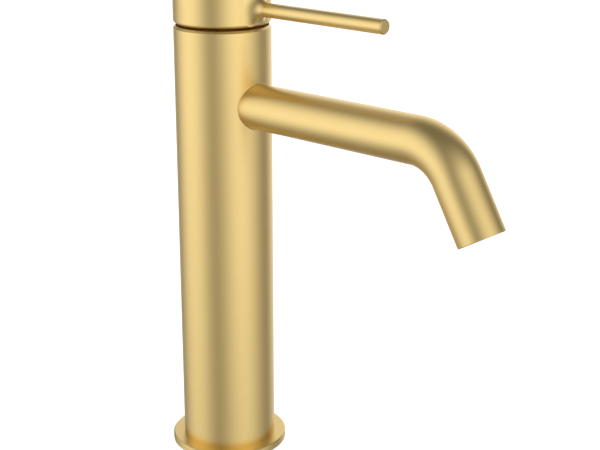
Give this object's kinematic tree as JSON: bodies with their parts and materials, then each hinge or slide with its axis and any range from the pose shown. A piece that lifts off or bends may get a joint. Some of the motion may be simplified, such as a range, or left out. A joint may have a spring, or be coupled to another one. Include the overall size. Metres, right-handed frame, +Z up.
{
  "type": "single-lever basin mixer faucet",
  "caption": "Tall round deck-mounted basin mixer with a bent tube spout and a thin rod lever that lifts for flow and turns for temperature, in satin gold.",
  "frame": {"origin": "centre of the base, on the deck surface that the flange rests on", "axes": "+Z up along the column, spout and lever towards -Y, hot side towards -X"},
  "size_m": [0.0562, 0.1851, 0.2924],
  "materials": {
    "gold_satin": "satin brushed, pale gold vapour-deposited coat",
    "brass": "turned, bare",
    "copper": "drawn tube",
    "steel": "plain stainless",
    "zinc_steel": "zinc plated",
    "rubber": "matt",
    "ceramic": "lapped alumina ceramic",
    "acetal": "moulded",
    "grey_plastic": "moulded",
    "red_plastic": "moulded"
  },
  "bodies": {
    "body": {"base_flange": "gold_satin", "flange_seal": "rubber", "column": "gold_satin", "inlet_block": "brass", "hot_riser": "copper", "cold_riser": "copper", "riser_o_rings": "rubber", "valve_head": "brass", "spout_tube": "gold_satin", "outlet_sleeve": "gold_satin", "spout_fillet": "gold_satin", "spout_nipple": "brass", "nipple_o_rings": "rubber", "aerator_housing": "grey_plastic", "aerator_seal": "rubber", "aerator_grid": "acetal", "aerator_screen": "steel", "cartridge_foot": "grey_plastic", "cartridge_foot_seals": "rubber", "cartridge_o_ring": "rubber", "cartridge_housing": "acetal", "fixed_disc": "ceramic", "limit_ring": "red_plastic", "retaining_nut": "brass", "neck_collar": "gold_satin", "mounting_stud": "zinc_steel", "clamp_gasket": "rubber", "clamp_plate": "zinc_steel", "clamp_nut": "brass"},
    "valve_guide": {"rotating_guide": "acetal", "tilt_pin": "steel"},
    "disc_slider": {"moving_disc": "ceramic", "disc_carrier": "grey_plastic"},
    "handle": {"handle_cap": "gold_satin", "lever_rod": "gold_satin", "handle_grub_screw": "steel", "grub_screw_plug": "gold_satin", "lever_stem": "brass"}
  },
  "joints": [
    {"name": "temperature_turn", "type": "hinge", "parent": "body", "child": "valve_guide", "pos_m": [0, 0, 0.2204], "axis": [0, 0, 1], "range_deg": [-45, 45]},
    {"name": "flow_lift", "type": "hinge", "parent": "valve_guide", "child": "handle", "pos_m": [0, 0, 0.2204], "axis": [-1, 0, 0], "range_deg": [0, 14]},
    {"name": "disc_slide", "type": "slide", "parent": "valve_guide", "child": "disc_slider", "axis": [0, -1, 0], "range_m": [0, 0.0035]}
  ],
  "couplings": [
    {"joint": "disc_slide", "follows": "flow_lift", "m_per_rad": 0.0139}
  ]
}
